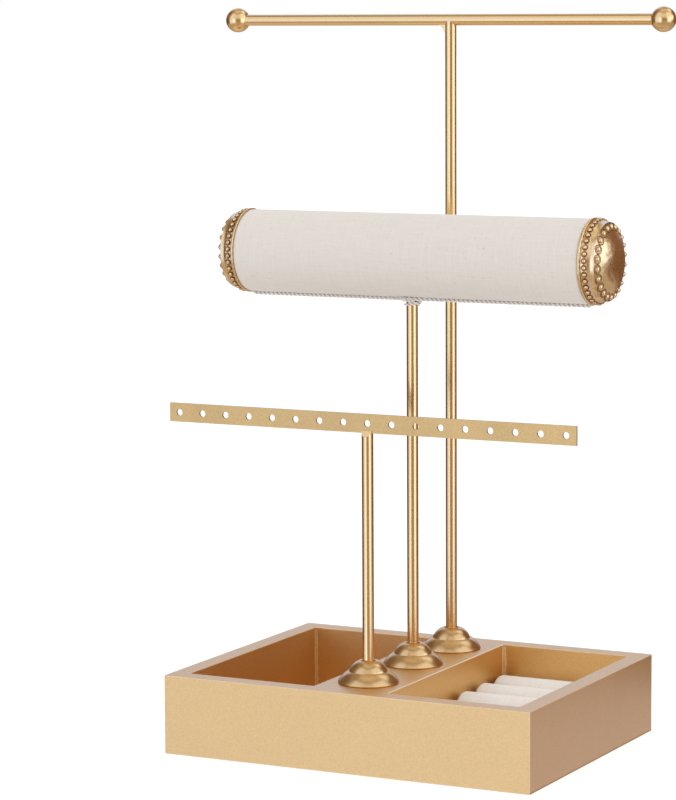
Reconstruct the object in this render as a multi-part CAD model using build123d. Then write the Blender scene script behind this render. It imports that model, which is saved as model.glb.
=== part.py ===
from build123d import *
from math import asin, cos, floor, radians, sin
import os

# Jewelry stand: a two-compartment tray with a middle rail that carries three T-shaped stands.
# Millimetres. X runs along the front, Y to the back, Z up. The origin is the middle of the underside.

# Tray boards
tray_width = 210.0
tray_depth = 163.0
tray_height = 42.0
board_thickness = 10.0
edge_radius = 0.6

# Floor panel, let into a rebate along the boards' lower inner edges
floor_thickness = 4.0
floor_rebate = 5.0
floor_clearance = 0.1

# Rail between the compartments, carried by two dividers
rail_width = 43.0
rail_thickness = 10.0
divider_thickness = 6.0

# Posts: plain rods with a shouldered stud that screws into an insert in the rail
rod_diameter = 6.0
front_post_inset = 30.5
middle_post_offset = 2.0
rear_post_inset = 31.5
post_shoulder = 0.5
stud_length = 9.0
stud_clearance = 0.03
insert_wall = 1.5
insert_head_overhang = 1.0
insert_head_thickness = 1.0

# Post flanges: stamped sheet, a flared skirt, a step and a dome dimpled round the rod
flange_diameter = 32.0
flange_wall = 0.8
flange_lip = 0.6
flange_skirt_width = 5.4
flange_skirt_bulge = 0.35
flange_step_height = 6.2
flange_step_ledge = 0.5
flange_dome_height = 5.4
flange_dome_lean = 0.35
flange_crown_width = 1.6
flange_dimple_depth = 1.0
flange_hole_clearance = 0.35

# Earring stand: a flat strip set in a slot in the wedge-shaped top of its post
earring_bar_underside = 172.5
earring_bar_length = 234.0
earring_bar_width = 10.0
earring_bar_thickness = 1.0
earring_hole_diameter = 3.5
earring_hole_pitch = 13.9
earring_end_margin = 5.0
earring_slot_depth = 1.2
earring_post_bevel = 2.0
earring_post_lip = 0.45

# Bracelet stand: a cloth-covered cardboard tube held on its post by a wooden core
roll_axis_height = 260.5
roll_length = 199.0
roll_diameter = 44.0
roll_shift = 3.8
cover_thickness = 0.6
tube_wall = 2.0
core_length = 40.0
core_post_reach = 8.0
roll_hole_clearance = 0.2
cord_diameter = 2.2
cord_clearance = 0.1
cord_turns = 2

# Roll end caps: a plain rim, a row of beads, a hollow band, a larger row of beads and a dome inside it
cap_rim_overhang = 0.6
cap_rim_thickness = 1.6
cap_rim_step = 1.4
cap_row_gap = 0.5
cap_first_row_radius = 1.2
cap_hollow_length = 2.5
cap_hollow_depth = 2.0
cap_hollow_sag = 0.35
cap_second_row_radius = 1.75
cap_second_row_bite_angle = 25.0
cap_dome_tuck_angle = 60.0
cap_dome_height = 4.8
cap_spigot_length = 8.0
cap_wall = 2.0

# Necklace stand: a round bar welded across the post, with a ball on each end
necklace_bar_height = 383.2
necklace_ball_spacing = 251.5
necklace_bar_shift = -4.0
ball_diameter = 13.3
ball_socket_depth = 5.0
weld_leg_along_bar = 3.0
weld_leg_along_post = 4.0
weld_thickness = 3.0
post_cope_gap = 0.75

# Ring insert: padded rolls that fill a backing board, loose in the right compartment
insert_board_thickness = 2.0
insert_clearance = 1.0
ring_roll_count = 6
ring_roll_gap = 1.4
ring_roll_flat = 0.6
ring_roll_end_radius = 3.0

# Places worked out from the sizes above
half_width = tray_width / 2
half_depth = tray_depth / 2
inner_half_width = half_width - board_thickness
inner_half_depth = half_depth - board_thickness
half_rail = rail_width / 2
rail_underside = tray_height - rail_thickness
rod_radius = rod_diameter / 2
stud_radius = rod_radius - post_shoulder
roll_radius = roll_diameter / 2
tube_radius = roll_radius - cover_thickness
tube_inner_radius = tube_radius - tube_wall
cord_radius = cord_diameter / 2
ball_radius = ball_diameter / 2
cut_overrun = 1.0
compartment_width = inner_half_width - half_rail
compartment_middle_x = (inner_half_width + half_rail) / 2
post_places = {
    "front": -half_depth + front_post_inset,
    "middle": middle_post_offset,
    "rear": half_depth - rear_post_inset,
}
parts = {}


def block(x_low, x_high, y_low, y_high, z_low, z_high):
    """A box between two corners."""
    size = Box(x_high - x_low, y_high - y_low, z_high - z_low)
    middle = ((x_low + x_high) / 2, (y_low + y_high) / 2, (z_low + z_high) / 2)
    return Pos(*middle) * size


def upright_rod(radius, z_low, z_high, y=0.0):
    """A round rod along Z between two heights."""
    return Pos(0, y, (z_low + z_high) / 2) * Cylinder(radius, z_high - z_low)


def level_rod(radius, x_low, x_high, y, z):
    """A round rod along X between two ends."""
    return Pos((x_low + x_high) / 2, y, z) * Rot(0, 90, 0) * Cylinder(radius, x_high - x_low)


# Tray: one softened block with two compartments, cut into its boards, rail and dividers
def tray_blank():
    body = block(-half_width, half_width, -half_depth, half_depth, 0, tray_height)
    for side in (-1, 1):
        near = side * half_rail
        far = side * inner_half_width
        body -= block(
            min(near, far), max(near, far),
            -inner_half_depth, inner_half_depth,
            -cut_overrun, tray_height + cut_overrun,
        )
    rim_edges = body.edges().group_by(Axis.Z)[-1]
    upright_edges = body.edges().filter_by(Axis.Z)
    outer_corners = upright_edges.group_by(lambda edge: round(abs(edge.center().X), 3))[-1]
    return fillet(rim_edges + outer_corners, edge_radius)


def floor_panel(grow):
    reach = floor_rebate - floor_clearance + grow
    return block(
        -inner_half_width - reach, inner_half_width + reach,
        -inner_half_depth - reach, inner_half_depth + reach,
        -grow, floor_thickness,
    )


blank = tray_blank()
rebate = floor_panel(floor_clearance)
end_slab = block(-half_width, half_width, -half_depth, -inner_half_depth, 0, tray_height)
side_slab = block(-half_width, -inner_half_width, -inner_half_depth, inner_half_depth, 0, tray_height)
parts["front_board"] = (blank & end_slab) - rebate
parts["back_board"] = (blank & mirror(end_slab, Plane.XZ)) - rebate
parts["left_board"] = (blank & side_slab) - rebate
parts["right_board"] = (blank & mirror(side_slab, Plane.YZ)) - rebate
parts["floor_panel"] = floor_panel(0.0)

divider_slab = block(
    half_rail - divider_thickness, half_rail,
    -inner_half_depth, inner_half_depth,
    floor_thickness, rail_underside,
)
parts["right_divider"] = divider_slab
parts["left_divider"] = mirror(divider_slab, Plane.YZ)


# Threaded insert: a headed bush through the rail, its head flush with the rail's top
def insert_body(y):
    body_radius = stud_radius + insert_wall
    head_radius = body_radius + insert_head_overhang
    body = upright_rod(body_radius, rail_underside, tray_height, y)
    return body + upright_rod(head_radius, tray_height - insert_head_thickness, tray_height, y)


rail_slab = block(-half_rail, half_rail, -inner_half_depth, inner_half_depth, rail_underside, tray_height)
rail = blank & rail_slab
for place, post_y in post_places.items():
    whole_insert = insert_body(post_y)
    rail -= whole_insert
    bore_ends = (rail_underside - cut_overrun, tray_height + cut_overrun)
    bore = upright_rod(stud_radius + stud_clearance, *bore_ends, post_y)
    parts[f"{place}_threaded_insert"] = whole_insert - bore
parts["post_rail"] = rail


# Post flange: the outer turned form less the same form drawn one sheet thickness inside it
def flange_form(inset):
    base = flange_diameter / 2 - inset
    step = base - flange_skirt_width
    neck = step - flange_step_ledge
    top = flange_step_height + flange_dome_height - inset
    step_top = flange_step_height - inset
    hole = rod_radius + flange_hole_clearance
    crown = hole + flange_crown_width
    skirt_middle = (
        (base + step) / 2 + flange_skirt_bulge,
        (flange_lip + step_top) / 2 + flange_skirt_bulge,
    )
    with BuildSketch(Plane.XZ) as profile:
        with BuildLine():
            Polyline((0, 0), (base, 0), (base, flange_lip))
            ThreePointArc((base, flange_lip), skirt_middle, (step, step_top))
            Line((step, step_top), (neck, step_top + flange_step_ledge))
            TangentArc((neck, step_top + flange_step_ledge), (crown, top), tangent=(-flange_dome_lean, 1))
            Line((crown, top), (hole, top - flange_dimple_depth))
            Polyline((hole, top - flange_dimple_depth), (0, top - flange_dimple_depth), (0, 0))
        make_face()
    return revolve(profile.sketch, Axis.Z)


def post_flange(y):
    hole = upright_rod(rod_radius + flange_hole_clearance, 0, flange_step_height + flange_dome_height)
    return Pos(0, y, tray_height) * (flange_form(0.0) - flange_form(flange_wall) - hole)


for place, post_y in post_places.items():
    parts[f"{place}_flange"] = post_flange(post_y)


# Post: rod with a stud below its shoulder
def post(y, top):
    stud = upright_rod(stud_radius, tray_height - stud_length, tray_height, y)
    return stud + upright_rod(rod_radius, tray_height, top, y)


# Earring stand
earring_y = post_places["front"]
earring_low = earring_bar_underside
strip = block(
    -earring_bar_length / 2, earring_bar_length / 2,
    earring_y - earring_bar_thickness / 2, earring_y + earring_bar_thickness / 2,
    earring_low, earring_low + earring_bar_width,
)
wedge_top = earring_low + earring_slot_depth
wedge_foot = earring_low - earring_post_bevel
wedge_half_top = earring_bar_thickness / 2 + earring_post_lip
with BuildSketch(Plane.YZ) as wedge_profile:
    with Locations((earring_y, 0)):
        Polygon(
            (-rod_radius, tray_height - stud_length), (rod_radius, tray_height - stud_length),
            (rod_radius, wedge_foot), (wedge_half_top, wedge_top),
            (-wedge_half_top, wedge_top), (-rod_radius, wedge_foot),
            align=None,
        )
wedge = extrude(wedge_profile.sketch, rod_radius, both=True)
parts["earring_post"] = (post(earring_y, wedge_top) & wedge) - strip
holes_each_side = floor((earring_bar_length / 2 - earring_end_margin) / earring_hole_pitch)
hole_height = earring_low + earring_bar_width / 2
for index in range(-holes_each_side, holes_each_side + 1):
    drill = Cylinder(earring_hole_diameter / 2, earring_bar_thickness + 2 * cut_overrun)
    strip -= Pos(index * earring_hole_pitch, earring_y, hole_height) * Rot(90, 0, 0) * drill
parts["earring_bar"] = strip

# Bracelet stand
roll_y = post_places["middle"]
roll_left = roll_shift - roll_length / 2
roll_right = roll_shift + roll_length / 2
bracelet_post = post(roll_y, roll_axis_height + core_post_reach)
post_way = upright_rod(rod_radius + roll_hole_clearance, tray_height, roll_axis_height, roll_y)
tube_solid = level_rod(tube_radius, roll_left, roll_right, roll_y, roll_axis_height)
tube_bore = level_rod(tube_inner_radius, roll_left, roll_right, roll_y, roll_axis_height)
cover_solid = level_rod(roll_radius, roll_left, roll_right, roll_y, roll_axis_height)
core = level_rod(tube_inner_radius, -core_length / 2, core_length / 2, roll_y, roll_axis_height)
parts["bracelet_post"] = bracelet_post
parts["roll_core"] = core - bracelet_post
parts["roll_tube"] = tube_solid - tube_bore - post_way
parts["roll_cover"] = cover_solid - tube_solid - post_way

# Twisted cord under the roll: two runs from the caps to a few turns round the post
cord_z = roll_axis_height - roll_radius - cord_clearance - cord_radius
turn_inner_radius = rod_radius + cord_clearance
turn_middle_radius = turn_inner_radius + cord_radius
turn_low = cord_z - cord_turns * cord_diameter
cord_turn = upright_rod(turn_inner_radius + cord_diameter, turn_low, cord_z, roll_y)
cord_turn -= upright_rod(turn_inner_radius, turn_low, cord_z, roll_y)
left_run = level_rod(cord_radius, roll_left, -turn_middle_radius, roll_y, cord_z)
right_run = level_rod(cord_radius, turn_middle_radius, roll_right, roll_y, cord_z)
parts["roll_cord"] = cord_turn + left_run + right_run


# Roll end cap, turned about X with its rim at X = 0 and its dome towards +X
def roll_cap():
    rim = roll_radius + cap_rim_overhang
    band = rim - cap_rim_step
    first_low = cap_rim_thickness + cap_row_gap
    first_middle = first_low + cap_first_row_radius
    first_high = first_middle + cap_first_row_radius
    hollow_start = first_high + cap_row_gap
    hollow_end = (hollow_start + cap_hollow_length, band - cap_hollow_depth)
    bite = radians(cap_second_row_bite_angle)
    second = hollow_end[1] - cap_second_row_radius * sin(bite)
    second_middle = hollow_end[0] + cap_second_row_radius * cos(bite)
    second_high = second_middle + cap_second_row_radius
    tuck = radians(cap_dome_tuck_angle)
    dome = second - cap_second_row_radius * sin(tuck)
    dome_start = second_middle + cap_second_row_radius * cos(tuck)
    apex = dome_start + cap_dome_height
    dome_sphere = (dome**2 + cap_dome_height**2) / (2 * cap_dome_height)
    half_angle = asin(dome / dome_sphere) / 2
    dome_middle = (apex - dome_sphere * (1 - cos(half_angle)), dome_sphere * sin(half_angle))
    hollow_middle = (
        (hollow_start + hollow_end[0]) / 2 - cap_hollow_sag,
        (band + hollow_end[1]) / 2 - cap_hollow_sag,
    )
    first_top = (first_middle, band + cap_first_row_radius)
    second_top = (second_middle, second + cap_second_row_radius)
    tuck_middle = (
        second_middle + cap_second_row_radius * cos(tuck / 2),
        second - cap_second_row_radius * sin(tuck / 2),
    )
    with BuildSketch(Plane.XY) as profile:
        with BuildLine():
            Polyline((-cap_spigot_length, 0), (-cap_spigot_length, tube_inner_radius),
                     (0, tube_inner_radius), (0, rim), (cap_rim_thickness, rim),
                     (cap_rim_thickness, band), (first_low, band))
            ThreePointArc((first_low, band), first_top, (first_high, band))
            Line((first_high, band), (hollow_start, band))
            ThreePointArc((hollow_start, band), hollow_middle, hollow_end)
            ThreePointArc(hollow_end, second_top, (second_high, second))
            ThreePointArc((second_high, second), tuck_middle, (dome_start, dome))
            ThreePointArc((dome_start, dome), dome_middle, (apex, 0))
            Line((apex, 0), (-cap_spigot_length, 0))
        make_face()
    bore = level_rod(tube_inner_radius - cap_wall, -cap_spigot_length, cap_rim_thickness, 0, 0)
    return revolve(profile.sketch, Axis.X) - bore


cap = roll_cap()
parts["right_roll_cap"] = Pos(roll_right, roll_y, roll_axis_height) * cap
parts["left_roll_cap"] = Pos(roll_left, roll_y, roll_axis_height) * mirror(cap, Plane.YZ)

# Necklace stand: the post's top is coped to the bar, with a weld on its left side
necklace_y = post_places["rear"]
bar_left = necklace_bar_shift - necklace_ball_spacing / 2
bar_right = necklace_bar_shift + necklace_ball_spacing / 2
bar_inset = ball_radius - ball_socket_depth
bar_ends = (bar_left + bar_inset, bar_right - bar_inset)
necklace_bar = level_rod(rod_radius, *bar_ends, necklace_y, necklace_bar_height)
weld_corner_z = necklace_bar_height - rod_radius
cope_top = necklace_bar_height - post_cope_gap
with BuildSketch(Plane.XZ.offset(-necklace_y)) as weld_profile:
    with BuildLine():
        Polyline((-rod_radius - weld_leg_along_bar, weld_corner_z),
                 (-rod_radius - weld_leg_along_bar, cope_top),
                 (0, cope_top),
                 (0, weld_corner_z - weld_leg_along_post),
                 (-rod_radius, weld_corner_z - weld_leg_along_post))
        RadiusArc((-rod_radius, weld_corner_z - weld_leg_along_post),
                  (-rod_radius - weld_leg_along_bar, weld_corner_z),
                  -weld_leg_along_bar - weld_leg_along_post)
    make_face()
weld = extrude(weld_profile.sketch, weld_thickness / 2, both=True)
parts["necklace_post"] = post(necklace_y, cope_top) + weld - necklace_bar
parts["necklace_bar"] = necklace_bar
for name, ball_x in (("left_ball", bar_left), ("right_ball", bar_right)):
    ball = Pos(ball_x, necklace_y, necklace_bar_height) * Rot(0, 0, 90) * Sphere(ball_radius)
    parts[name] = ball - necklace_bar

# Ring insert
insert_half_width = compartment_width / 2 - insert_clearance
insert_half_depth = inner_half_depth - insert_clearance
insert_board_top = floor_thickness + insert_board_thickness
parts["ring_insert_board"] = block(
    compartment_middle_x - insert_half_width, compartment_middle_x + insert_half_width,
    -insert_half_depth, insert_half_depth,
    floor_thickness, insert_board_top,
)
ring_roll_pitch = 2 * insert_half_depth / ring_roll_count
ring_roll_radius = (ring_roll_pitch - ring_roll_gap) / 2
ring_roll_z = insert_board_top + ring_roll_radius - ring_roll_flat


def ring_roll(y):
    ends = (compartment_middle_x - insert_half_width, compartment_middle_x + insert_half_width)
    roll = level_rod(ring_roll_radius, *ends, y, ring_roll_z)
    roll = fillet(roll.edges().filter_by(GeomType.CIRCLE), ring_roll_end_radius)
    sides = (y - ring_roll_radius, y + ring_roll_radius)
    below = block(*ends, *sides, ring_roll_z - ring_roll_radius, insert_board_top)
    return roll - below


for index in range(ring_roll_count):
    roll_place = (index - (ring_roll_count - 1) / 2) * ring_roll_pitch
    parts[f"ring_roll_{index + 1}"] = ring_roll(roll_place)

os.makedirs("parts", exist_ok=True)
for node, shape in parts.items():
    export_step(shape, f"parts/{node}.step")
print(f"{len(parts)} pieces written")
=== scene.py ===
import math

import bmesh
import bpy
from mathutils import Matrix, Vector, noise


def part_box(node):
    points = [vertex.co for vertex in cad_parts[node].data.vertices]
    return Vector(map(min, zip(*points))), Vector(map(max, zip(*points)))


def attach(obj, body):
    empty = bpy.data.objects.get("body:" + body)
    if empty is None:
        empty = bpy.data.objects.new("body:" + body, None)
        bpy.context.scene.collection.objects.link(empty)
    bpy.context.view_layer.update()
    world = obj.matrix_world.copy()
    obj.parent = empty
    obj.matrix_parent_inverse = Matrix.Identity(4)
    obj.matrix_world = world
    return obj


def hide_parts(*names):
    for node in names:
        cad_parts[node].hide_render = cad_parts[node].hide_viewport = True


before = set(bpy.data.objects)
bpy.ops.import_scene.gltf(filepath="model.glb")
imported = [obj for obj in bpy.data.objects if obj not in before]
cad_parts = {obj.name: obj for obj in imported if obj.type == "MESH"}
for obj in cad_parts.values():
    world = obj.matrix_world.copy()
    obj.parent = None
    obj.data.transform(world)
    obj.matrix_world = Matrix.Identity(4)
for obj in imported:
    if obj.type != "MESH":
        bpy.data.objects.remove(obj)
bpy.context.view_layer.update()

# Tray: four fibreboard sides, a floor, two dividers and the rail that carries the posts, glued with
# butted joints, filled, sanded and sprayed all over with satin gold paint that hides the joints.
# The paint carries fine metal flakes and dries with a slight orange peel; its rounded edges are
# painted pale: painted highlight, with some rubbed wear.
mm = 0.001
board_nodes = [
    "front_board", "back_board", "left_board", "right_board",
    "floor_panel", "left_divider", "right_divider",
]
paint_color = (0.82, 0.508, 0.168, 1.0)
paint_flake = 0.38 * mm
spray_clouds = 45.0
# Pale colour on the rounded edges: painted highlight lines, with some rubbed wear.
rubbed_highlight_color = (0.86, 0.72, 0.52, 1.0)
rubbed_highlight_span = (0.985, 0.88)
board_wear_and_highlight = 0.5
rail_wear_and_highlight = 0.9


def put(tree, kind, inputs=None, **settings):
    """Adds a node; each input is a plain value or the socket that feeds it."""
    node = tree.nodes.new(kind)
    for setting, value in settings.items():
        setattr(node, setting, value)
    for socket, value in (inputs or {}).items():
        if isinstance(value, bpy.types.NodeSocket):
            tree.links.new(value, node.inputs[socket])
        else:
            node.inputs[socket].default_value = value
    return node


def calc(tree, operation, *values):
    """The result of one math node on plain values or sockets."""
    return put(tree, "ShaderNodeMath", dict(enumerate(values)), operation=operation).outputs[0]


def swing(tree, value, middle, spread, base):
    """A base value that swings by a spread as another value leaves its middle."""
    return calc(tree, "MULTIPLY_ADD", calc(tree, "SUBTRACT", value, middle), spread, base)


def times(tree, vector, factor):
    """A colour or vector times a factor."""
    return put(tree, "ShaderNodeVectorMath", {0: vector, "Scale": factor}, operation="SCALE").outputs[0]


def remap(tree, value, span, onto=(0.0, 1.0), curve="LINEAR"):
    """A value carried from one span onto another and held at its ends."""
    inputs = {
        "Value": value, "From Min": span[0], "From Max": span[1], "To Min": onto[0], "To Max": onto[1],
    }
    return put(tree, "ShaderNodeMapRange", inputs, interpolation_type=curve).outputs[0]


def blend(tree, factor, first, second):
    """A colour between two others."""
    inputs = {"Factor": factor, "A": first, "B": second}
    return put(tree, "ShaderNodeMix", inputs, data_type="RGBA").outputs["Result"]


def cloudy(tree, place, scale, detail):
    """A soft noise value."""
    inputs = {"Vector": place, "Scale": scale, "Detail": detail}
    return put(tree, "ShaderNodeTexNoise", inputs).outputs[0]


def relief(tree, height, strength, distance):
    """The normal of a surface raised by a height."""
    inputs = {"Height": height, "Strength": strength, "Distance": distance}
    return put(tree, "ShaderNodeBump", inputs).outputs["Normal"]


def on_piece(tree):
    """The place on the piece itself."""
    return put(tree, "ShaderNodeTexCoord").outputs["Object"]


def open_group(name, inputs, outputs):
    """Starts a node group from {input: default} and {output: socket kind}."""
    group = bpy.data.node_groups.new(name, "ShaderNodeTree")
    kinds = {1: "NodeSocketFloat", 3: "NodeSocketVector", 4: "NodeSocketColor"}
    for socket, default in inputs.items():
        width = len(default) if isinstance(default, tuple) else 1
        made = group.interface.new_socket(socket, in_out="INPUT", socket_type=kinds[width])
        made.default_value = default
    for socket, kind in outputs.items():
        group.interface.new_socket(socket, in_out="OUTPUT", socket_type=kind)
    given = group.nodes.new("NodeGroupInput").outputs
    result = group.nodes.new("NodeGroupOutput").inputs
    return group, given, result


def sprayed_grain():
    """Metal flakes, cloudy spray and orange peel of a sprayed metallic paint."""
    group, given, result = open_group(
        "sprayed_grain",
        {
            "Color": (0.7, 0.5, 0.25, 1.0), "Grain Size": 0.0005, "Flakes": 0.1,
            "Clouds": 0.06, "Roughness": 0.4, "Roughness Spread": 0.1,
        },
        {"Color": "NodeSocketColor", "Roughness": "NodeSocketFloat", "Height": "NodeSocketFloat"},
    )
    place = on_piece(group)
    density = calc(group, "DIVIDE", 1.0, given["Grain Size"])
    cells = put(group, "ShaderNodeTexVoronoi", {"Vector": place, "Scale": density})
    flake = put(group, "ShaderNodeSeparateColor", {0: cells.outputs["Color"]}).outputs[0]
    peel = cloudy(group, place, density, detail=2.0)
    cloud = cloudy(group, place, spray_clouds, detail=3.0)
    flake_light = swing(group, flake, 0.5, given["Flakes"], 1.0)
    light = swing(group, cloud, 0.5, given["Clouds"], flake_light)
    rough = swing(group, peel, 0.5, given["Roughness Spread"], given["Roughness"])
    group.links.new(times(group, given["Color"], light), result["Color"])
    group.links.new(rough, result["Roughness"])
    group.links.new(peel, result["Height"])
    return group


def edge_wear_and_highlight():
    """One on the rounded edges of a square-cut board, where they are painted pale: painted highlight,
    with some rubbed wear.
    """
    group, given, result = open_group("edge_wear_and_highlight", {"Wear And Highlight": 1.0}, {"Mask": "NodeSocketFloat"})
    facing = put(group, "ShaderNodeNewGeometry").outputs["True Normal"]
    square = put(group, "ShaderNodeVectorMath", {0: facing}, operation="ABSOLUTE").outputs[0]
    sides = put(group, "ShaderNodeSeparateXYZ", {0: square}).outputs
    flat = calc(group, "MAXIMUM", calc(group, "MAXIMUM", sides[0], sides[1]), sides[2])
    edge = remap(group, flat, rubbed_highlight_span)
    group.links.new(calc(group, "MULTIPLY", edge, given["Wear And Highlight"]), result["Mask"])
    return group


grain_group = sprayed_grain()
edge_highlight_group = edge_wear_and_highlight()


def new_material(name):
    """A material and its empty node tree."""
    material = bpy.data.materials.new(name)
    material.use_nodes = True
    material.node_tree.nodes.clear()
    return material, material.node_tree


def sprayed(tree, color, grain_size, flakes, clouds, roughness, spread):
    """Places the sprayed grain in a material and gives its outputs."""
    values = {
        "Color": color, "Grain Size": grain_size, "Flakes": flakes,
        "Clouds": clouds, "Roughness": roughness, "Roughness Spread": spread,
    }
    return put(tree, "ShaderNodeGroup", values, node_tree=grain_group).outputs


def shade(material, inputs):
    """Gives a material its shader and output."""
    tree = material.node_tree
    shader = put(tree, "ShaderNodeBsdfPrincipled", inputs)
    put(tree, "ShaderNodeOutputMaterial", {"Surface": shader.outputs["BSDF"]})
    return material


def gold_paint(name, wear_and_highlight):
    """Satin gold paint; the last argument is how far its rounded edges are painted pale and bare:
    painted highlight, with some wear.
    """
    material, tree = new_material(name)
    # Rounded edges painted pale and less metallic: painted highlight, with some wear.
    rubbed_highlight = put(tree, "ShaderNodeGroup", {"Wear And Highlight": wear_and_highlight}, node_tree=edge_highlight_group).outputs["Mask"]
    grain = sprayed(
        tree, paint_color, paint_flake, flakes=0.15, clouds=0.05, roughness=0.46, spread=0.10
    )
    return shade(material, {
        "Base Color": blend(tree, rubbed_highlight, grain["Color"], rubbed_highlight_color),
        "Metallic": calc(tree, "SUBTRACT", 1.0, rubbed_highlight),
        "Roughness": grain["Roughness"],
        "Coat Weight": 0.4,
        "Coat Roughness": 0.35,
        "Normal": relief(tree, grain["Height"], strength=0.3, distance=0.05 * mm),
    })


def dress(names, material):
    """Puts a material on carried-over nodes."""
    for name in names:
        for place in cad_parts[name].material_slots:
            place.material = material


dress(board_nodes, gold_paint("satin_gold_paint", board_wear_and_highlight))
dress(["post_rail"], gold_paint("rubbed_gold_paint_and_highlight", rail_wear_and_highlight))

# Paint beads: where the boards meet inside the compartments the paint has pooled into a slightly
# uneven bead, hollow in the middle. It is part of the paint film and stays with the tray.
bead_steps = 10
bead_levels = 60
bead_top_gap = 0.8 * mm
bead_swell = 0.15
bead_swell_waves = (900, 700, 520)
bead_lip = 0.05
bead_lip_waves = (0.6, 500, 500)
bead_hollow = 0.5
left_end_bead = {"left": 1.3 * mm, "right": 1.6 * mm}
right_end_bead = 1.0 * mm
# The beads' curved faces take the pale edge colour: painted highlight along each inside corner.
pooled_highlight = 0.45
pooled_paint_and_highlight = gold_paint("pooled_gold_paint_and_highlight", pooled_highlight)


def waver(spot, waves, start=Vector((0, 0, 0))):
    """Smooth noise at a spot, with a number of waves to each unit along each axis."""
    return noise.noise(start + Vector([value * count for value, count in zip(spot, waves)]))


def join_loops(bm, loops):
    """Faces between neighbouring closed loops of equal length."""
    for near, far in zip(loops, loops[1:]):
        for step in range(len(near)):
            after = (step + 1) % len(near)
            bm.faces.new((near[step], near[after], far[after], far[step]))


def finish_mesh(name, bm, material, sharp_degrees=40.0):
    """Turns a bmesh into a smooth-shaded piece with one material."""
    bmesh.ops.recalc_face_normals(bm, faces=bm.faces)
    mesh = bpy.data.meshes.new(name)
    bm.to_mesh(mesh)
    bm.free()
    mesh.shade_smooth()
    mesh.set_sharp_from_angle(angle=math.radians(sharp_degrees))
    mesh.materials.append(material)
    piece = bpy.data.objects.new(name, mesh)
    bpy.context.scene.collection.objects.link(piece)
    return piece


def corner_bead(name, corner, inward, width):
    """An upright fillet in an inside corner; inward gives the two signs into the room."""
    floor_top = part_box("floor_panel")[1].z
    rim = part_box("front_board")[1].z - bead_top_gap
    bm = bmesh.new()
    levels = []
    for level in range(bead_levels + 1):
        height = floor_top + (rim - floor_top) * level / bead_levels
        swell = 1.0 + bead_swell * waver((corner.x, corner.y, height), bead_swell_waves)
        ring = [bm.verts.new((corner.x, corner.y, height))]
        for step in range(bead_steps + 1):
            turn = math.pi / 2 * step / bead_steps
            lip = 1.0 + bead_lip * waver((step, corner.x, height), bead_lip_waves)
            hollow = 1 - bead_hollow + bead_hollow * math.cos(2 * turn) ** 2
            reach = width * swell * lip * hollow
            across = (inward[0] * reach * math.cos(turn), inward[1] * reach * math.sin(turn))
            ring.append(bm.verts.new((corner.x + across[0], corner.y + across[1], height)))
        levels.append(ring)
    join_loops(bm, levels)
    bm.faces.new(levels[0])
    bm.faces.new(levels[-1])
    piece = finish_mesh(name, bm, pooled_paint_and_highlight, sharp_degrees=60.0)
    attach(piece, "base")


compartments = {
    "left": (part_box("left_board")[1].x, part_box("post_rail")[0].x),
    "right": (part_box("post_rail")[1].x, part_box("right_board")[0].x),
}
walls = (("back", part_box("back_board")[0].y, -1), ("front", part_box("front_board")[1].y, 1))
for room, (low_x, high_x) in compartments.items():
    ends = (("left", low_x, 1, left_end_bead[room]), ("right", high_x, -1, right_end_bead))
    for end, corner_x, side, width in ends:
        for wall, corner_y, into in walls:
            bead_name = f"paint_bead_{room}_{wall}_{end}"
            corner_bead(bead_name, Vector((corner_x, corner_y, 0)), (side, into), width)

# Threaded inserts: turned brass bushes pressed into the rail, which the posts screw into.
# They are hidden under the flanges and are left as machined.
lathe_mark_scale = 1600.0


def two_tone(tree, factor, dark, light):
    """A colour that runs from dark to light with a factor."""
    ramp = put(tree, "ShaderNodeValToRGB", {"Fac": factor})
    ramp.color_ramp.elements[0].color = dark
    ramp.color_ramp.elements[1].color = light
    return ramp.outputs[0]


def machined_brass():
    """Bare brass with fine rings from the lathe."""
    material, tree = new_material("machined_brass")
    lathe_marks = put(
        tree, "ShaderNodeTexWave",
        {"Vector": on_piece(tree), "Scale": lathe_mark_scale, "Distortion": 0.6, "Detail": 1.0},
        bands_direction="Z",
    ).outputs[0]
    tint = two_tone(tree, lathe_marks, (0.56, 0.40, 0.16, 1.0), (0.72, 0.54, 0.25, 1.0))
    return shade(material, {"Base Color": tint, "Metallic": 1.0, "Roughness": 0.3})


dress(["front_threaded_insert", "middle_threaded_insert", "rear_threaded_insert"], machined_brass())

# Post flanges: discs of sheet steel spun into a flared skirt, a step and a dome dimpled round the
# rod, then sprayed gold. Their gold is a darker copy of the posts' gold: painted shade from the roll
# above them. They slide down the posts and hide the screwed joints.
flange_wall = 0.8 * mm
flange_lip = 0.6 * mm
flange_lip_middle = 0.3 * mm
flange_lip_inset = 0.06 * mm
flange_foot_inset = 0.42 * mm
flange_skirt_width = 5.4 * mm
flange_skirt_bulge = 0.42 * mm
flange_dome_bulge = 0.55 * mm
flange_step_height = 6.2 * mm
flange_step_ledge = 0.45 * mm
flange_neck_ledge = 0.585 * mm
flange_groove_depth = 0.3 * mm
flange_crown_width = 1.6 * mm
flange_crown_inset = 0.96 * mm
flange_crown_fall = 0.25 * mm
flange_dimple_depth = 1.0 * mm
flange_hole_radius = 3.35 * mm
flange_curve_steps = 14
flange_steps = 144
metal_grain = 0.35 * mm


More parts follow.
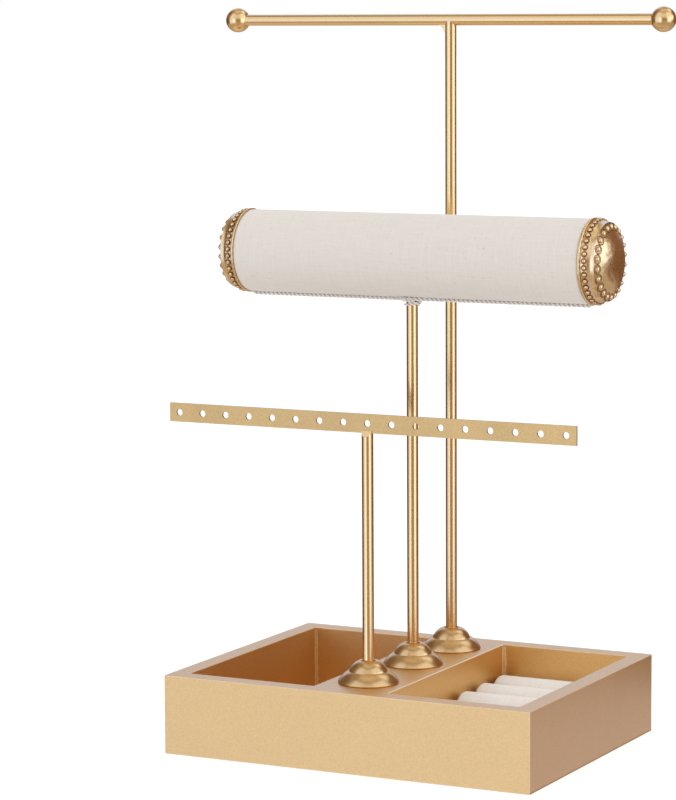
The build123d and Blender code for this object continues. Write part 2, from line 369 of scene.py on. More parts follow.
def gold_metal(name, color, roughness, mottle=0.07, cut_edge_shade=1.0):
    """Sprayed gold on metal; the last argument is how much colour a strip's cut edges keep: darker bare
    cut metal, and painted shade in the punched holes.
    """
    material, tree = new_material(name)
    grain = sprayed(
        tree, color, metal_grain, flakes=mottle, clouds=mottle, roughness=roughness, spread=0.08
    )
    tint = grain["Color"]
    # Faces not facing the strip's front or back are darkened: painted shade in the punched holes, and
    # darker cut metal.
    if cut_edge_shade < 1.0:
        facing = put(tree, "ShaderNodeTexCoord").outputs["Normal"]
        flat = calc(tree, "ABSOLUTE", put(tree, "ShaderNodeSeparateXYZ", {0: facing}).outputs[1])
        tint = times(tree, tint, calc(tree, "MULTIPLY_ADD", flat, 1.0 - cut_edge_shade, cut_edge_shade))
    return shade(material, {
        "Base Color": tint,
        "Metallic": 1.0,
        "Roughness": grain["Roughness"],
        "Normal": relief(tree, grain["Height"], strength=0.12, distance=0.03 * mm),
    })


post_gold = gold_metal("satin_gold_metal", (0.86, 0.56, 0.22, 1.0), roughness=0.22)
# A darker copy of the post gold: painted shade on the flanges.
shaded_flange_gold = gold_metal("shaded_spun_gold_metal", (0.74, 0.47, 0.184, 1.0), roughness=0.25)


def bowed(start, end, bow, steps):
    """Points from start towards end, bowed up and outward by bow at the middle."""
    points = []
    for step in range(steps):
        share = step / steps
        rise = 4 * bow * share * (1 - share)
        points.append((
            start[0] + (end[0] - start[0]) * share + rise,
            start[1] + (end[1] - start[1]) * share + rise,
        ))
    return points


def turned_shell(bm, profile, steps, closed=False):
    """Turns (along, radius) points about X; a point on the axis is one vertex."""
    rings = []
    for along, radius in profile:
        turns = [2 * math.pi * step / steps for step in range(steps)] if radius > 0 else [0.0]
        rings.append([bm.verts.new((along, radius * math.cos(t), radius * math.sin(t))) for t in turns])
    follow = rings[1:] + rings[:1] if closed else rings[1:]
    for ring, after in zip(rings, follow):
        for step in range(steps):
            other = (step + 1) % steps
            corners = (
                ring[step % len(ring)], ring[other % len(ring)],
                after[other % len(after)], after[step % len(after)],
            )
            bm.faces.new(list(dict.fromkeys(corners)))
    return rings


def flange_outline(inset, top):
    """Half section from the lip up over the step and dome to the rod's hole."""
    low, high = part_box("front_flange")
    base = 0.5 * (high.x - low.x) - inset
    step = (flange_step_height - inset, base - flange_skirt_width)
    groove = (step[0] - flange_groove_depth, step[1] - flange_step_ledge)
    neck = (step[0] + flange_groove_depth, step[1] - flange_neck_ledge)
    crown = (top - inset, flange_hole_radius + flange_crown_width)
    outline = [(0.0, base - flange_foot_inset), (flange_lip_middle, base - flange_lip_inset)]
    outline += bowed((flange_lip, base), step, flange_skirt_bulge, flange_curve_steps)
    outline += [step, groove]
    outline += bowed(neck, crown, flange_dome_bulge, flange_curve_steps)
    outline += [crown]
    outline += [(crown[0] - flange_crown_fall, crown[1] - flange_crown_inset)]
    outline += [(crown[0] - flange_dimple_depth, flange_hole_radius)]
    return outline


for place in ("front", "middle", "rear"):
    low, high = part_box(f"{place}_flange")
    bm = bmesh.new()
    outer = flange_outline(0.0, high.z - low.z)
    inner = flange_outline(flange_wall, high.z - low.z)
    turned_shell(bm, outer + inner[::-1], flange_steps, closed=True)
    bm.transform(
        Matrix.Translation(((low.x + high.x) / 2, (low.y + high.y) / 2, low.z))
        @ Matrix.Rotation(-math.pi / 2, 4, "Y")
    )
    flange = finish_mesh(f"{place}_spun_flange", bm, shaded_flange_gold, sharp_degrees=28.0)
    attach(flange, "base")
    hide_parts(f"{place}_flange")

# Earring stand: a steel rod ground to a wedge at the top and slotted for a punched steel strip,
# soldered in place and sprayed gold. Its cut edges are darker: bare metal, and painted shade in the
# holes.
strip_color = (0.63, 0.378, 0.119, 1.0)
strip_gold = gold_metal(
    "brushed_gold_strip", strip_color, roughness=0.36, mottle=0.22, cut_edge_shade=0.35
)
dress(["earring_post"], post_gold)
dress(["earring_bar"], strip_gold)

# Bracelet stand: the gold rod goes up into a turned wooden core glued inside a cardboard tube.
# The core and the tube are closed in by the cloth and the caps.
wood_grain_scale = (40.0, 600.0, 600.0)
card_pulp_scale = 900.0


def core_wood():
    """Plain wood with its grain along the roll."""
    material, tree = new_material("turned_core_wood")
    drawn = put(tree, "ShaderNodeMapping", {"Vector": on_piece(tree), "Scale": wood_grain_scale})
    fibre = cloudy(tree, drawn.outputs[0], 1.0, detail=4.0)
    tint = two_tone(tree, fibre, (0.42, 0.27, 0.14, 1.0), (0.64, 0.47, 0.29, 1.0))
    return shade(material, {"Base Color": tint, "Roughness": 0.7})


def grey_card():
    """Raw card with a speckle of pulp."""
    material, tree = new_material("grey_card")
    pulp = cloudy(tree, on_piece(tree), card_pulp_scale, detail=4.0)
    tint = two_tone(tree, pulp, (0.36, 0.31, 0.25, 1.0), (0.52, 0.46, 0.38, 1.0))
    return shade(material, {"Base Color": tint, "Roughness": 0.9})


card = grey_card()
dress(["bracelet_post"], post_gold)
dress(["roll_core"], core_wood())
dress(["roll_tube"], card)

# Roll cover: one piece of cream linen wrapped round the tube and glued, with its lap along the
# underside and its ends turned in under the caps. It is cut away round the post.
roll_low, roll_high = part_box("roll_cover")
roll_radius = (roll_high.z - roll_low.z) / 2
roll_centre = (roll_low + roll_high) / 2
cloth_thickness = 0.45 * mm
cloth_lap = 6 * mm
cloth_turn_in = 0.4 * mm
cloth_wobble = 0.07 * mm
cloth_waves = (55, 2.2, 2.2)
post_hole_radius = 3.7 * mm
cloth_steps_round = 176
cloth_steps_along = 200
thread_dip = 0.35
slub_stretches = ((900.0, 55.0, 1.0), (55.0, 900.0, 1.0))
fleck_scale = 520.0
fleck_span = (0.66, 0.78)


def linen_weave():
    """Plain weave: over and under threads with slubs, flecks, a cloudy cast and painted shade in the
    gaps between threads.
    """
    group, given, result = open_group(
        "linen_weave",
        {
            "Place": (0.0, 0.0, 0.0), "Thread": 0.0005, "Color": (0.6, 0.55, 0.5, 1.0),
            "Gap Shade Color": (0.4, 0.35, 0.3, 1.0), "Slubs": 0.1, "Flecks": 0.2,
        },
        {"Color": "NodeSocketColor", "Height": "NodeSocketFloat"},
    )
    counted = times(group, given["Place"], calc(group, "DIVIDE", math.pi, given["Thread"]))
    across = put(group, "ShaderNodeSeparateXYZ", {0: counted}).outputs
    over = calc(group, "MULTIPLY", calc(group, "COSINE", across[0]), calc(group, "COSINE", across[1]))
    raised = []
    for thread, dip in ((across[0], thread_dip), (across[1], -thread_dip)):
        rounded = calc(group, "ABSOLUTE", calc(group, "SINE", thread))
        lifted = calc(group, "MULTIPLY_ADD", over, dip, 1 - thread_dip)
        raised.append(calc(group, "MULTIPLY", rounded, lifted))
    height = calc(group, "MAXIMUM", *raised)
    slubs = []
    for stretch in slub_stretches:
        drawn = put(group, "ShaderNodeMapping", {"Vector": given["Place"], "Scale": stretch})
        slubs.append(cloudy(group, drawn.outputs[0], 1.0, detail=2.0))
    light = swing(group, calc(group, "ADD", *slubs), 1.0, given["Slubs"], 1.0)
    fleck = remap(group, cloudy(group, given["Place"], fleck_scale, detail=1.0), fleck_span)
    shown = calc(group, "SUBTRACT", light, calc(group, "MULTIPLY", fleck, given["Flecks"]))
    # Low parts of the weave take the gap colour: painted shade between threads.
    threads = blend(group, height, given["Gap Shade Color"], given["Color"])
    group.links.new(times(group, threads, shown), result["Color"])
    group.links.new(height, result["Height"])
    return group


weave_group = linen_weave()


def linen(name, thread, color, gap_shade_color, slubs, flecks):
    """Woven cloth laid out by the place that each mesh stores for it."""
    material, tree = new_material(name)
    place = put(tree, "ShaderNodeAttribute", attribute_name="cloth_place").outputs["Vector"]
    values = {
        "Place": place, "Thread": thread, "Color": color, "Gap Shade Color": gap_shade_color,
        "Slubs": slubs, "Flecks": flecks,
    }
    weave = put(tree, "ShaderNodeGroup", values, node_tree=weave_group).outputs
    return shade(material, {
        "Base Color": weave["Color"],
        "Roughness": 0.85,
        "Specular IOR Level": 0.25,
        "Sheen Weight": 0.15,
        "Sheen Roughness": 0.5,
        "Normal": relief(tree, weave["Height"], strength=0.5, distance=0.12 * mm),
    })


roll_linen = linen(
    "cream_linen", thread=0.5 * mm, color=(0.725, 0.685, 0.635, 1.0),
    gap_shade_color=(0.58, 0.535, 0.48, 1.0), slubs=0.10, flecks=0.15,
)


def smooth_step(low, high, value):
    """Nought below low, one above high and a smooth rise between."""
    share = min(1.0, max(0.0, (value - low) / (high - low)))
    return share * share * (3 - 2 * share)


def wrapped_cloth():
    """The cloth wound once round the tube from the underside, the lap lying over its own start."""
    bm = bmesh.new()
    place_layer = bm.verts.layers.float_vector.new("cloth_place")
    sheet_width = 2 * math.pi * roll_radius + cloth_lap
    rows = []
    for step in range(cloth_steps_along + 1):
        along = roll_low.x + (roll_high.x - roll_low.x) * step / cloth_steps_along
        row = []
        for turn in range(cloth_steps_round + 1):
            wound = sheet_width * turn / cloth_steps_round
            angle = wound / roll_radius - math.pi / 2
            under = cloth_thickness * (1 - smooth_step(cloth_lap, 2 * cloth_lap, wound))
            wave = waver((along, math.cos(angle), math.sin(angle)), cloth_waves)
            radius = roll_radius - under - cloth_wobble * (1 - wave) / 2
            if step in (0, cloth_steps_along):
                radius -= cloth_turn_in
            spot = Vector((along, roll_centre.y, roll_centre.z))
            spot += Vector((0, radius * math.cos(angle), radius * math.sin(angle)))
            vert = bm.verts.new(spot)
            vert[place_layer] = (wound, along, 0.0)
            row.append(vert)
        rows.append(row)
    post_middle = (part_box("bracelet_post")[0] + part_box("bracelet_post")[1]) / 2
    for near, far in zip(rows, rows[1:]):
        for turn in range(cloth_steps_round):
            corners = (near[turn], near[turn + 1], far[turn + 1], far[turn])
            middle = sum((corner.co for corner in corners), Vector()) / 4
            off_post = math.hypot(middle.x - post_middle.x, middle.y - post_middle.y)
            if middle.z > roll_centre.z or off_post > post_hole_radius:
                bm.faces.new(corners)
    loose = [vert for vert in bm.verts if not vert.link_faces]
    bmesh.ops.delete(bm, geom=loose, context="VERTS")
    piece = finish_mesh("linen_cover", bm, roll_linen)
    body = piece.modifiers.new("thickness", "SOLIDIFY")
    body.thickness = cloth_thickness
    body.offset = -1.0
    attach(piece, "bracelet_stand")
    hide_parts("roll_cover")


wrapped_cloth()

# Roll end caps: cast caps pushed into the tube, plated gold and toned brown in the hollows. Each has
# a plain rim, a row of small beads in rings, a smooth hollow band, a row of larger beads in rings on
# the shoulder, and a dome that was hammered slightly uneven.
cap_low, cap_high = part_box("right_roll_cap")
cap_radius = (cap_high.z - cap_low.z) / 2
cap_length = cap_high.x - roll_high.x
cap_color = (0.88, 0.62, 0.289, 1.0)
cap_grain = 0.4 * mm
recess_color = (0.33, 0.16, 0.047, 1.0)
rim_thickness = 1.4 * mm
rim_round = 0.45 * mm
rim_bulge = 0.3 * mm
band_radius = cap_radius - 1.4 * mm
small_bead_along = 3.45 * mm
small_bead_radius = 1.15 * mm
small_bead_rise = 0.25 * mm
small_bead_count = 38
small_groove_radius = 1.45 * mm
small_groove_wire = 0.30 * mm
hollow_start = 5.0 * mm
hollow_end = 8.4 * mm
hollow_depth = 0.8 * mm
hollow_sag = 0.25 * mm
shoulder_end = 9.96 * mm
shoulder_radius = cap_radius - 5.65 * mm
large_bead_radius = 1.6 * mm
large_bead_rise = -0.25 * mm
large_bead_count = 22
large_groove_radius = 2.25 * mm
large_groove_wire = 0.40 * mm
large_bead_place = 0.68
groove_sink = 0.4
groove_tone = 0.95
bead_foot_tone = 0.9
bead_foot_span = (0.15, 0.55)
seat_tone = 0.15
seat_slack = 0.01 * mm
dome_dent = 0.13 * mm
dome_dent_waves = 260
fine_dent_waves = 620
fine_dent_share = 0.5
dome_rings = 22
dome_edge_rings = 4
cap_steps = 176


def cap_gold():
    """Bright plating, darker where the mesh marks a recess."""
    material, tree = new_material("antique_cap_gold")
    recess = put(tree, "ShaderNodeAttribute", attribute_name="recess").outputs["Fac"]
    grain = sprayed(tree, cap_color, cap_grain, flakes=0.22, clouds=0.35, roughness=0.22, spread=0.16)
    return shade(material, {
        "Base Color": blend(tree, recess, grain["Color"], recess_color),
        "Metallic": 1.0,
        "Roughness": grain["Roughness"],
        "Normal": relief(tree, grain["Height"], strength=0.5, distance=0.08 * mm),
    })


plated_gold = cap_gold()


def arc_points(centre, radius, start, end, steps):
    """Points of an arc in the (along, radius) plane, angles from the axis direction."""
    turns = [start + (end - start) * step / steps for step in range(steps + 1)]
    return [(centre[0] + radius * math.cos(t), centre[1] + radius * math.sin(t)) for t in turns]


def wire_ring(bm, matrix, radius, wire, steps=18, sides=8):
    """A small torus lying in the matrix's XY plane."""
    loops = []
    for step in range(steps):
        turn = 2 * math.pi * step / steps
        loop = []
        for side in range(sides):
            lean = 2 * math.pi * side / sides
            out = radius + wire * math.cos(lean)
            spot = Vector((out * math.cos(turn), out * math.sin(turn), wire * math.sin(lean)))
            loop.append(bm.verts.new(matrix @ spot))
        loops.append(loop)
    join_loops(bm, loops + loops[:1])
    return [vert for loop in loops for vert in loop]


def half_ball(bm, matrix, radius, rings=7, sides=14):
    """The upper half of a ball over the matrix's XY plane."""
    loops = []
    for ring in range(rings):
        climb = math.pi / 2 * ring / rings
        across = radius * math.cos(climb)
        loop = []
        for side in range(sides):
            turn = 2 * math.pi * side / sides
            spot = Vector((across * math.cos(turn), across * math.sin(turn), radius * math.sin(climb)))
            loop.append(bm.verts.new(matrix @ spot))
        loops.append(loop)
    top = bm.verts.new(matrix @ Vector((0, 0, radius)))
    join_loops(bm, loops)
    for side in range(sides):
        bm.faces.new((loops[-1][side], loops[-1][(side + 1) % sides], top))
    bm.faces.new(loops[0][::-1])
    return [vert for loop in loops for vert in loop] + [top]


def seat_matrix(along, radius, turn, lean):
    """A frame on the cap whose Z points outward, leaning from the radius towards the dome."""
    radial = Vector((0, math.cos(turn), math.sin(turn)))
    outward = radial * math.cos(lean) + Vector((1, 0, 0)) * math.sin(lean)
    tangent = Vector((0, -math.sin(turn), math.cos(turn)))
    axes = Matrix((tangent, outward.cross(tangent), outward)).transposed().to_4x4()
    return Matrix.Translation(Vector((along, 0, 0)) + radial * radius) @ axes


def cap_profile():
    """Half section of the cap from its back over the rim, band and shoulder to the dome's tip."""
    dome_height = cap_length - shoulder_end
    dome_sphere = (shoulder_radius ** 2 + dome_height ** 2) / (2 * dome_height)
    half_angle = math.asin(shoulder_radius / dome_sphere)
    hollow_low = (hollow_end, band_radius - hollow_depth)
    profile = [(0.0, 0.0), (0.0, band_radius)]
    profile += arc_points(
        (rim_round, cap_radius - rim_round), rim_round, math.pi, math.pi / 2, steps=5
    )
    profile += bowed((rim_round, cap_radius), (rim_thickness, band_radius), rim_bulge, steps=6)[1:]
    profile += [(rim_thickness, band_radius)]
    profile += bowed((hollow_start, band_radius), hollow_low, -hollow_sag, steps=8)
    profile += bowed(hollow_low, (shoulder_end, shoulder_radius), 0.0, steps=6)
    for step in range(dome_rings + 1):
        turn = half_angle * (1 - step / dome_rings)
        radius = dome_sphere * math.sin(turn) if step < dome_rings else 0.0
        profile.append((cap_length - dome_sphere * (1 - math.cos(turn)), radius))
    return profile


def bead_row(bm, recess, count, seat_of, bead_radius, rise, groove_radius, wire):
    """Beads all round the cap, each in a ring of dark tone that crosses its neighbours' rings."""
    for bead in range(count):
        seat = seat_of(2 * math.pi * (bead + 0.5) / count)
        to_seat = seat.inverted()
        sunk = seat @ Matrix.Translation((0, 0, -groove_sink * wire))
        for vert in wire_ring(bm, sunk, groove_radius, wire):
            vert[recess] = groove_tone
        for vert in half_ball(bm, seat @ Matrix.Translation((0, 0, rise)), bead_radius):
            height = ((to_seat @ vert.co).z - rise) / bead_radius
            vert[recess] = bead_foot_tone * (1 - smooth_step(*bead_foot_span, height))


def cap_mesh():
    """One cap with its rim at X = 0 and its dome towards +X."""
    bm = bmesh.new()
    recess = bm.verts.layers.float.new("recess")
    profile = cap_profile()
    rings = turned_shell(bm, profile, cap_steps)
    dome_start = len(profile) - dome_rings - 1
    for index, ring in enumerate(rings):
        along, radius = profile[index]
        past_rim = rim_thickness - seat_slack < along < hollow_start
        on_band = past_rim and radius <= band_radius + seat_slack
        on_shoulder = hollow_end < along and index <= dome_start
        for vert in ring:
            vert[recess] = seat_tone if on_band or on_shoulder else 0.0
            if index > dome_start:
                fade = smooth_step(0, dome_edge_rings, index - dome_start)
                dent = noise.noise(vert.co * dome_dent_waves)
                dent += fine_dent_share * noise.noise(vert.co * fine_dent_waves)
                vert.co.x += dome_dent * fade * dent
    bead_row(
        bm, recess, small_bead_count,
        lambda turn: seat_matrix(small_bead_along, band_radius, turn, 0.0),
        small_bead_radius, small_bead_rise, small_groove_radius, small_groove_wire,
    )
    shoulder_low = band_radius - hollow_depth
    slope = math.atan2(shoulder_low - shoulder_radius, shoulder_end - hollow_end)
    seat_along = hollow_end + (shoulder_end - hollow_end) * large_bead_place
    seat_radius = shoulder_low + (shoulder_radius - shoulder_low) * large_bead_place
    bead_row(
        bm, recess, large_bead_count,
        lambda turn: seat_matrix(seat_along, seat_radius, turn, slope),
        large_bead_radius, large_bead_rise, large_groove_radius, large_groove_wire,
    )
    return bm


cap_form = cap_mesh()
for side, cap_node, cap_face in ((1, "right_roll_cap", roll_high.x), (-1, "left_roll_cap", roll_low.x)):
    bm = cap_form.copy()
    place = Matrix.Translation((cap_face, roll_centre.y, roll_centre.z))
    bm.transform(place @ Matrix.Diagonal((side, 1, 1, 1)))
    cap = finish_mesh(cap_node.replace("roll_cap", "ornate_cap"), bm, plated_gold, sharp_degrees=50.0)
    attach(cap, "bracelet_stand")
    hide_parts(cap_node)

# Roll cord: off-white cotton cord of two plies, glued over the cloth's lap along the underside. The
# right half is wound down round the post, the left half crosses over it in front, and both thin out
# as they end. The post and roll hold it all the way.
cord_radius = 1.1 * mm
cord_press = 0.3 * mm
cord_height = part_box("roll_cord")[1].z - cord_radius + cord_press
cord_pitch = 5.2 * mm
cord_step = 0.36 * mm
cord_end_gap = 0.2 * mm
cord_end_share = 0.55
cord_end_taper = 3 * mm
cord_end_lift = 1.0 * mm
ply_radius = 0.58 * mm
ply_lay = 0.52 * mm
yarn_lobes = 5
yarn_sides = 4 * yarn_lobes
yarn_swell = 0.10
yarn_twist = 0.9
# Painted shade in the groove between the plies: darkest deep in it, none past the span.
ply_shade_span = (0.45, 0.85)
winding_radius = 4.2 * mm
winding_drop = 3.5 * mm
winding_reach = 13 * mm
winding_end_share = 0.4
winding_taper = (1.0, 0.4)
crossing_rise = 0.8 * mm
crossing_settles = (0.05, 0.25)
right_turns = 2.75
right_fall = (0.5, 2.5)
left_turns = 0.8
left_fall = (-0.16, 0.30)
cotton_fuzz_scale = 2600.0


def cotton_cord():
    """Fuzzy cotton, with painted shade where the mesh marks the groove between the plies."""
    material, tree = new_material("off_white_cotton")
    fuzz = cloudy(tree, on_piece(tree), cotton_fuzz_scale, detail=3.0)
    tint = two_tone(tree, fuzz, (0.66, 0.60, 0.56, 1.0), (0.84, 0.79, 0.75, 1.0))
    # Painted shade between the plies, read from the mesh.
    groove = put(tree, "ShaderNodeAttribute", attribute_name="groove").outputs["Fac"]
    return shade(material, {
        "Base Color": blend(tree, groove, tint, (0.32, 0.27, 0.24, 1.0)),
        "Roughness": 0.8,
        "Sheen Weight": 0.3,
        "Normal": relief(tree, fuzz, strength=0.5, distance=0.1 * mm),
    })


def cord_route(end_x):
    """Points from one cap along the underside to the post and round it, with the cord's thickness."""
    side = 1 if end_x > 0 else -1
    ring = winding_radius if side > 0 else winding_radius + crossing_rise
    turns = right_turns if side > 0 else left_turns
    fall = right_fall if side > 0 else left_fall
    length = abs(end_x) - cord_end_gap
    route = []
    for step in range(int(length / cord_step)):
        along = length - step * cord_step
        aside = ring * (1 - smooth_step(0, winding_reach, along))
        from_end = smooth_step(0, cord_end_taper, abs(end_x) - along)
        thin = cord_end_share + (1 - cord_end_share) * from_end
        lift = cord_end_lift * (1 - thin) + aside * aside / (2 * roll_radius)
        drop = winding_drop * smooth_step(*fall, -along / (2 * math.pi * ring))
        route.append((Vector((side * along, -aside, cord_height + lift - drop)), thin))
    total = int(2 * math.pi * ring * turns / cord_step)
    for step in range(total + 1):
        turned = turns * step / total
        tapered = smooth_step(turns - winding_taper[0], turns - winding_taper[1], turned)
        thin = 1 - (1 - winding_end_share) * tapered
        angle = -math.pi / 2 - side * 2 * math.pi * turned
        settled = smooth_step(*crossing_settles, turned)
        radius = ring + (winding_radius - ring) * settled - cord_radius * (1 - thin)
        lift = ring * ring / (2 * roll_radius) * (1 - smooth_step(turns - 1.0, turns, turned))
        height = cord_height + lift - winding_drop * smooth_step(*fall, turned)
        route.append((Vector((radius * math.cos(angle), radius * math.sin(angle), height)), thin))
    return route


def across_line(points):
    """Two directions across a line at each of its points, carried along it without a twist."""
    normal = Vector((0, 0, 1))
    last = len(points) - 1
    for index in range(len(points)):
        forward = (points[min(index + 1, last)] - points[max(index - 1, 0)]).normalized()
        normal = (normal - forward * normal.dot(forward)).normalized()
        yield normal, forward.cross(normal)


def sweep_ply(bm, groove, centres, axes, radii):
    """A closed tube with twisted yarn lobes along a line of centres, shaded towards the cord's axis."""
    loops = []
    for index, (normal, other) in enumerate(across_line(centres)):
        loop = []
        for side in range(yarn_sides):
            turn = 2 * math.pi * side / yarn_sides
            lobe = 1 + yarn_swell * math.cos(yarn_lobes * turn + index * yarn_twist)
            out = normal * math.cos(turn) + other * math.sin(turn)
            vert = bm.verts.new(centres[index] + out * radii[index] * lobe)
            depth = (vert.co - axes[index]).length / (ply_lay + ply_radius)
            vert[groove] = 1 - smooth_step(*ply_shade_span, depth * ply_radius / radii[index])
            loop.append(vert)
        loops.append(loop)
    join_loops(bm, loops)
    bm.faces.new(loops[0])
    bm.faces.new(loops[-1])


def twisted_cord():
    """Both halves of the cord, each of two plies laid round each other."""
    bm = bmesh.new()
    # Painted shade between the plies, stored on the mesh.
    groove = bm.verts.layers.float.new("groove")
    post_line = Vector((0, roll_centre.y, 0))
    for end_x in (roll_low.x, roll_high.x):
        route = cord_route(end_x)
        spots = [spot for spot, thin in route]
        axes = [spot + post_line for spot in spots]
        radii = [ply_radius * thin for spot, thin in route]
        for ply in range(2):
            centres = []
            travelled = 0.0
            for index, (normal, other) in enumerate(across_line(spots)):
                spot, thin = route[index]
                travelled += (spot - spots[max(index - 1, 0)]).length
                turn = 2 * math.pi * travelled / cord_pitch + math.pi * ply
                off = (normal * math.cos(turn) + other * math.sin(turn)) * ply_lay * thin
                centres.append(spot + off + post_line)
            sweep_ply(bm, groove, centres, axes, radii)
    piece = finish_mesh("twisted_roll_cord", bm, cotton_cord(), sharp_degrees=75.0)
    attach(piece, "bracelet_stand")
    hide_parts("roll_cord")


twisted_cord()

# Necklace stand: a gold rod coped and welded under a cross bar of the same rod, with a turned
# ball pressed on each end.
dress(["necklace_post", "necklace_bar", "left_ball", "right_ball"], post_gold)

# Ring insert: six foam rolls covered in the same cream cloth, glued side by side on a card that
# lies loose in the right compartment. Rings are pushed into the grooves between the rolls.
ring_roll_count = 6
ring_cloth_pull = 0.1 * mm
ring_cloth_waves = (90, 1.6, 1.6)
ring_cloth_shift = 3
ring_seed_step = 310
ring_seed = (3.7, 1.3)
ring_end_gap = 1.5 * mm
ring_end_round = 2.8 * mm
ring_end_pleats = 17
ring_pleat_height = 0.12 * mm
ring_steps_along = 64
ring_steps_round = 56
ring_linen = linen(
    "ring_roll_linen", thread=0.55 * mm, color=(0.83, 0.78, 0.73, 1.0),
    gap_shade_color=(0.70, 0.645, 0.59, 1.0), slubs=0.14, flecks=0.10,
)
dress(["ring_insert_board"], card)


def ring_roll(node):
    """A foam roll with its cloth gathered in small pleats over rounded ends and flat underneath."""
    low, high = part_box(node)
    radius = (high.y - low.y) / 2
    centre_y = (low.y + high.y) / 2
    centre_z = high.z - radius
    length = high.x - low.x - 2 * ring_end_gap
    seed = Vector((low.y * ring_seed_step, *ring_seed))
    bm = bmesh.new()
    place_layer = bm.verts.layers.float_vector.new("cloth_place")
    rings = []
    for step in range(ring_steps_along + 1):
        share = 0.5 - 0.5 * math.cos(math.pi * step / ring_steps_along)
        from_end = length * min(share, 1 - share)
        along = low.x + ring_end_gap + length * share
        bend = math.sqrt(max(0.0, 1 - (1 - min(1.0, from_end / ring_end_round)) ** 2))
        gathered = 1 - smooth_step(0, 2 * ring_end_round, from_end)
        ring = []
        for turn in range(ring_steps_round):
            angle = 2 * math.pi * turn / ring_steps_round - math.pi / 2
            pleat = math.cos(ring_end_pleats * angle + seed.x) * gathered
            wave = waver((along, math.cos(angle), math.sin(angle)), ring_cloth_waves, seed)
            drawn_in = ring_end_round * (1 - bend) + ring_cloth_pull * (0.5 + 0.5 * wave)
            size = radius - drawn_in + ring_pleat_height * pleat
            z = max(low.z, centre_z + size * math.sin(angle))
            vert = bm.verts.new((along, centre_y + size * math.cos(angle), z))
            vert[place_layer] = (along, angle * radius + low.y * ring_cloth_shift, 0.0)
            ring.append(vert)
        rings.append(ring)
    join_loops(bm, rings)
    for ring in (rings[0], rings[-1]):
        middle = bm.verts.new((ring[0].co.x, centre_y, centre_z))
        middle[place_layer] = (0.0, centre_z, 0.0)
        for turn in range(ring_steps_round):
            bm.faces.new((ring[turn], ring[(turn + 1) % ring_steps_round], middle))
    piece_name = node.replace("ring_roll", "padded_ring_roll")
    piece = finish_mesh(piece_name, bm, ring_linen, sharp_degrees=70.0)
    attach(piece, "ring_insert")
    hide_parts(node)


for index in range(1, ring_roll_count + 1):
    ring_roll(f"ring_roll_{index}")

# Studio: a large pale sheet on the table, a white tent with soft boxes at the left, right, front and
# top, a pale card beside the tray, and a long lens at the height of the necklace bar.
camera_place = Vector((0.753421, -1.546976, 0.393060))
camera_azimuth = math.radians(27.247)
camera_elevation = math.radians(6.921)
camera_roll = math.radians(-0.305)
picture_height = 800
focal_pixels = 3281.1
sensor_size = 36.0
floor_size = 20.0
paper_tooth_scale = 300.0
card_gap = 0.0002
card_width = 0.26
card_reach = 0.20
card_height = 0.0005
card_near = (0.58, 0.57, 0.82, 1.0)
card_far = (0.585, 0.58, 0.93, 1.0)
tent_span = (-0.2, 1.0)
tent_levels = (0.98, 1.28)
towards_camera = Vector((math.sin(camera_azimuth), -math.cos(camera_azimuth), 0.0))
camera_side = Vector((math.cos(camera_azimuth), math.sin(camera_azimuth), 0.0))


def place_camera():
    """The lens that took the picture, with its slight roll."""
    back = towards_camera * math.cos(camera_elevation) + Vector((0, 0, math.sin(camera_elevation)))
    right = (-back).cross(Vector((0, 0, 1))).normalized()
    up = back.cross(right)
    turned_right = right * math.cos(camera_roll) + up * math.sin(camera_roll)
    turned_up = up * math.cos(camera_roll) - right * math.sin(camera_roll)
    axes = Matrix((turned_right, turned_up, back)).transposed().to_4x4()
    lens = bpy.data.cameras.new("photo_camera")
    lens.sensor_width = sensor_size
    lens.lens = focal_pixels * sensor_size / picture_height
    lens.clip_end = 50.0
    camera = bpy.data.objects.new("photo_camera", lens)
    camera.matrix_world = Matrix.Translation(camera_place) @ axes
    bpy.context.scene.collection.objects.link(camera)
    bpy.context.scene.camera = camera


def paper_floor():
    """White paper, lit from below so that no shadow greys it."""
    material, tree = new_material("white_paper")
    tooth = cloudy(tree, on_piece(tree), paper_tooth_scale, detail=3.0)
    shade(material, {
        "Base Color": two_tone(tree, tooth, (0.29, 0.29, 0.29, 1.0), (0.31, 0.31, 0.31, 1.0)),
        "Roughness": 1.0,
        "Specular IOR Level": 0.0,
        "Emission Color": (1.0, 1.0, 1.0, 1.0),
        "Emission Strength": 0.76,
    })
    bm = bmesh.new()
    bmesh.ops.create_grid(bm, x_segments=1, y_segments=1, size=floor_size)
    floor = finish_mesh("paper_floor", bm, material)
    floor.visible_glossy = False


def bounce_card():
    """A pale card on the table beside the tray that only the polished sides see."""
    material, tree = new_material("pale_card")
    away = put(tree, "ShaderNodeTexGradient", {"Vector": on_piece(tree)}).outputs[0]
    shade(material, {
        "Base Color": (0.0, 0.0, 0.0, 1.0),
        "Specular IOR Level": 0.0,
        "Emission Color": two_tone(tree, away, card_near, card_far),
        "Emission Strength": 1.0,
    })
    bm = bmesh.new()
    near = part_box("right_board")[1].x + card_gap
    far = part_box("right_board")[1].x + card_width
    corners = []
    for across, along in ((near, -1), (far, -1), (far, 1), (near, 1)):
        corners.append(bm.verts.new((across, along * card_reach, card_height)))
    bm.faces.new(corners)
    card_piece = finish_mesh("bounce_card", bm, material)
    card_piece.visible_camera = False
    card_piece.visible_diffuse = False
    card_piece.visible_shadow = False


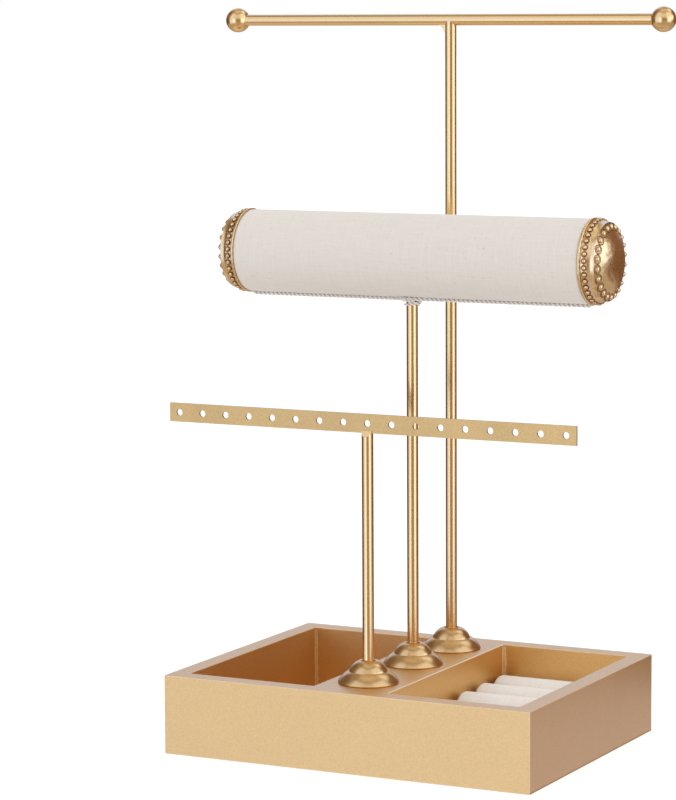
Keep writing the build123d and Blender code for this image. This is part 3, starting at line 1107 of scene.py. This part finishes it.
def studio_light():
    """White to the lens; an even tent for cloth; a dim room with soft boxes for polished metal."""
    room = (0.4, 0.33, 0.282, 1.0)
    # Each box: its degrees across from the lens and up, its soft edge in degrees, its light
    boxes = (
        ("far table", (-190, 190), (-55, -20), 8, (0.52, 0.458, 0.448, 1.0)),
        ("near table", (-190, 190), (-95, -60), 10, (0.8, 0.745, 0.768, 1.0)),
        ("left box top", (-80, -32), (6, 54), 10, (0.94, 1.075, 1.6, 1.0)),
        ("front top box", (-32, 28), (20, 52), 10, (0.85, 0.894, 1.178, 1.0)),
        ("left fill", (-82, -30), (-20, 5), 10, (0.95, 1.181, 2.022, 1.0)),
        ("left box", (-45, -30), (-20, 10), 8, (1.45, 1.734, 2.752, 1.0)),
        ("right fill", (36, 72), (-16, 22), 10, (0.76, 0.841, 1.152, 1.0)),
        ("right box top", (28, 86), (14, 54), 10, (1.1, 1.213, 1.664, 1.0)),
        ("right box", (34, 60), (-16, 12), 8, (1.60, 1.88, 2.90, 1.0)),
        ("far right box", (70, 94), (0, 20), 6, (1.65, 1.862, 2.688, 1.0)),
        ("sky", (-190, 190), (72, 95), 8, (0.8, 0.766, 0.768, 1.0)),
        ("upper right box", (104, 134), (42, 64), 8, (1.25, 1.362, 1.792, 1.0)),
        ("left dark", (-190, -96), (-14, 4), 8, (0.15, 0.106, 0.077, 1.0)),
        ("right dark", (94, 190), (-14, 4), 10, (0.2, 0.106, 0.058, 1.0)),
        ("left upper dark", (-146, -108), (8, 40), 8, (0.22, 0.16, 0.115, 1.0)),
        ("right upper dark", (108, 150), (8, 34), 14, (0.25, 0.138, 0.083, 1.0)),
        ("left backdrop", (-190, -156), (8, 52), 8, (0.73, 0.86, 1.28, 1.0)),
        ("right backdrop", (156, 190), (8, 40), 8, (0.75, 0.88, 1.31, 1.0)),
    )
    world = bpy.data.worlds.new("studio")
    bpy.context.scene.world = world
    world.use_nodes = True
    world.cycles.sampling_method = "NONE"
    tree = world.node_tree
    tree.nodes.clear()
    way = put(tree, "ShaderNodeTexCoord").outputs["Generated"]
    ahead = put(tree, "ShaderNodeVectorMath", {0: way, 1: towards_camera}, operation="DOT_PRODUCT")
    aside = put(tree, "ShaderNodeVectorMath", {0: way, 1: camera_side}, operation="DOT_PRODUCT")
    height = put(tree, "ShaderNodeSeparateXYZ", {0: way}).outputs[2]
    turn = calc(tree, "DEGREES", calc(tree, "ARCTAN2", aside.outputs["Value"], ahead.outputs["Value"]))
    lift = calc(tree, "DEGREES", calc(tree, "ARCSINE", height))

    def inside(value, span, soft):
        """One between the two ends of a span, fading over the soft width outside it."""
        rising = remap(tree, value, (span[0] - soft, span[0]), curve="SMOOTHSTEP")
        falling = remap(tree, value, (span[1] + soft, span[1]), curve="SMOOTHSTEP")
        return calc(tree, "MULTIPLY", rising, falling)

    polished = room
    for name, across, upright, soft, level in boxes:
        mask = calc(tree, "MULTIPLY", inside(turn, across, soft), inside(lift, upright, soft))
        polished = blend(tree, mask, polished, level)
        polished.node.label = name
    tent = remap(tree, height, tent_span, tent_levels)
    ray = put(tree, "ShaderNodeLightPath").outputs
    for_metal = blend(tree, ray["Is Glossy Ray"], tent, polished)
    seen = blend(tree, ray["Is Camera Ray"], for_metal, (1.0, 1.0, 1.0, 1.0))
    light = put(tree, "ShaderNodeBackground", {"Color": seen, "Strength": 1.0})
    put(tree, "ShaderNodeOutputWorld", {"Surface": light.outputs[0]})


place_camera()
paper_floor()
bounce_card()
studio_light()
bpy.context.scene.view_settings.view_transform = "Standard"
